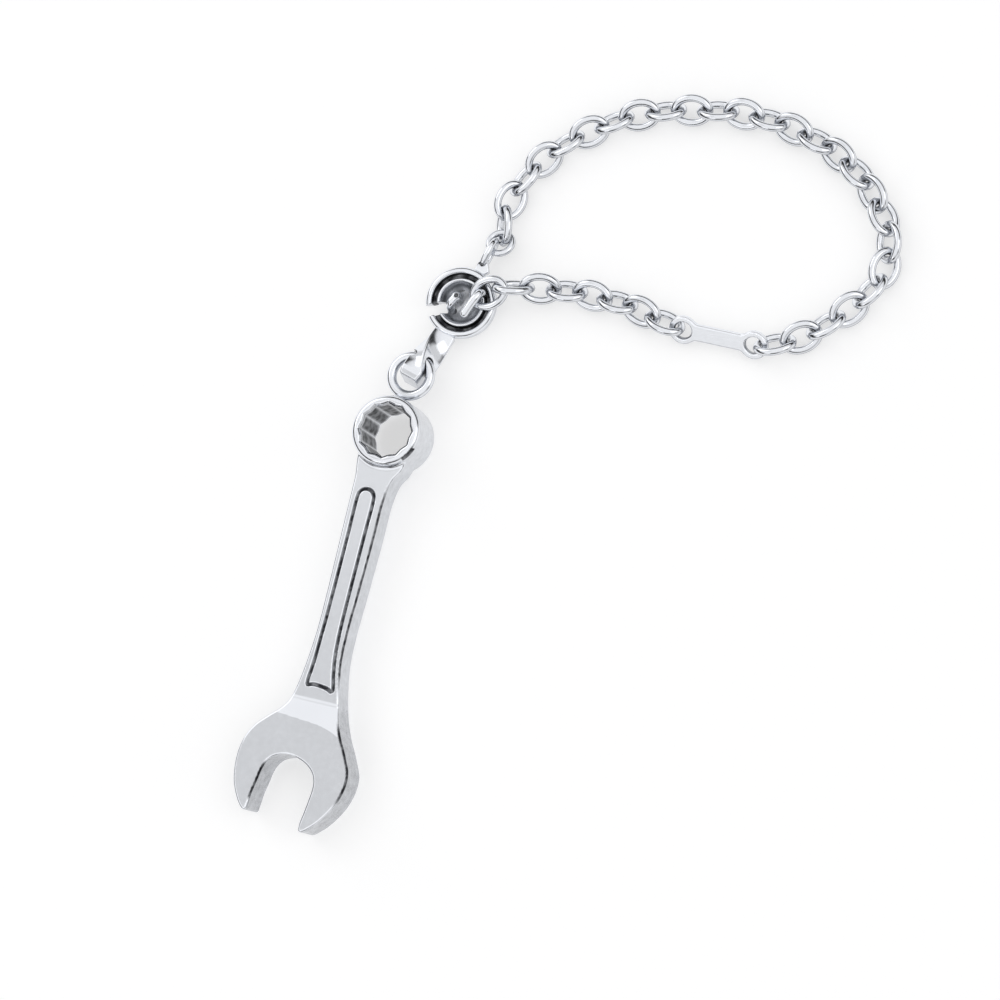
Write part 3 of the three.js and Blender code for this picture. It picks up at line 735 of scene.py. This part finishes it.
def area(name, loc, size, power, look=(0, 0, 0), size_y=None):
    l = bpy.data.lights.new(name, "AREA")
    l.energy = power
    l.size = size
    if size_y:
        l.shape = "RECTANGLE"
        l.size_y = size_y
    o = bpy.data.objects.new(name, l)
    bpy.context.scene.collection.objects.link(o)
    o.location = loc
    o.rotation_euler = (Vector(look) - Vector(loc)).to_track_quat("-Z", "Y").to_euler()
    return o


area("key", (-0.62, 0.30, 0.50), 0.5, 0.55)
area("fill", (0.6, 0.1, 0.6), 0.5, 0.40)
area("front", (-0.23, -0.68, 0.36), 0.36, 0.30)

world = bpy.data.worlds.new("studio")
bpy.context.scene.world = world
world.use_nodes = True
wt = world.node_tree
bg = wt.nodes["Background"]
tc = wt.nodes.new("ShaderNodeTexCoord")
sx = wt.nodes.new("ShaderNodeSeparateXYZ")
wt.links.new(tc.outputs["Generated"], sx.inputs[0])
ramp = wt.nodes.new("ShaderNodeValToRGB")
wt.links.new(sx.outputs["Z"], ramp.inputs[0])
stops = [(0.0, 0.85), (0.05, 0.75), (0.10, 0.03), (0.44, 0.04), (0.54, 0.80), (0.75, 0.95), (1.0, 1.0)]
els = ramp.color_ramp.elements
els[0].position, els[0].color = stops[0][0], (stops[0][1],) * 3 + (1,)
els[1].position, els[1].color = stops[-1][0], (stops[-1][1],) * 3 + (1,)
for p_, v_ in stops[1:-1]:
    e = els.new(p_)
    e.color = (v_, v_, v_ * 1.01, 1)
# a soft grey shape high up, where the jaw's flat face looks
dot = wt.nodes.new("ShaderNodeVectorMath")
dot.operation = "DOT_PRODUCT"
d0 = Vector((-0.350, -0.012, 0.937)).normalized()
dot.inputs[1].default_value = d0
wt.links.new(tc.outputs["Generated"], dot.inputs[0])
mr = wt.nodes.new("ShaderNodeMapRange")
mr.inputs["From Min"].default_value = math.cos(math.radians(9.0))
mr.inputs["From Max"].default_value = math.cos(math.radians(0.8))
mr.inputs["To Min"].default_value = 1.0
mr.inputs["To Max"].default_value = 0.68
wt.links.new(dot.outputs["Value"], mr.inputs["Value"])
mulw = wt.nodes.new("ShaderNodeVectorMath")
mulw.operation = "SCALE"
wt.links.new(ramp.outputs[0], mulw.inputs[0])
wt.links.new(mr.outputs[0], mulw.inputs["Scale"])
# three pale panels that stand in the dark band
last = mulw.outputs[0]
for direction, inner, outer in (((0.95, 0.12, 0.22), 20, 30), ((-0.80, 0.56, 0.16), 18, 28), ((0.68, -0.68, 0.27), 8, 24)):
    dp = wt.nodes.new("ShaderNodeVectorMath")
    dp.operation = "DOT_PRODUCT"
    dp.inputs[1].default_value = Vector(direction).normalized()
    wt.links.new(tc.outputs["Generated"], dp.inputs[0])
    pm = wt.nodes.new("ShaderNodeMapRange")
    pm.inputs["From Min"].default_value = math.cos(math.radians(outer))
    pm.inputs["From Max"].default_value = math.cos(math.radians(inner))
    pm.inputs["To Min"].default_value = 0.0
    pm.inputs["To Max"].default_value = 0.70
    wt.links.new(dp.outputs["Value"], pm.inputs["Value"])
    mx = wt.nodes.new("ShaderNodeVectorMath")
    mx.operation = "MAXIMUM"
    wt.links.new(last, mx.inputs[0])
    wt.links.new(pm.outputs[0], mx.inputs[1])
    last = mx.outputs[0]
wt.links.new(last, bg.inputs[0])
bg.inputs[1].default_value = 0.97
# seen directly, beyond the floor's edge, the studio is a plain pale wall
plain = wt.nodes.new("ShaderNodeBackground")
plain.inputs[0].default_value = (0.94, 0.94, 0.945, 1)
path = wt.nodes.new("ShaderNodeLightPath")
wall = wt.nodes.new("ShaderNodeMixShader")
wt.links.new(path.outputs["Is Camera Ray"], wall.inputs[0])
wt.links.new(bg.outputs[0], wall.inputs[1])
wt.links.new(plain.outputs[0], wall.inputs[2])
wt.links.new(wall.outputs[0], wt.nodes["World Output"].inputs[0])
bpy.context.scene.view_settings.view_transform = "Standard"
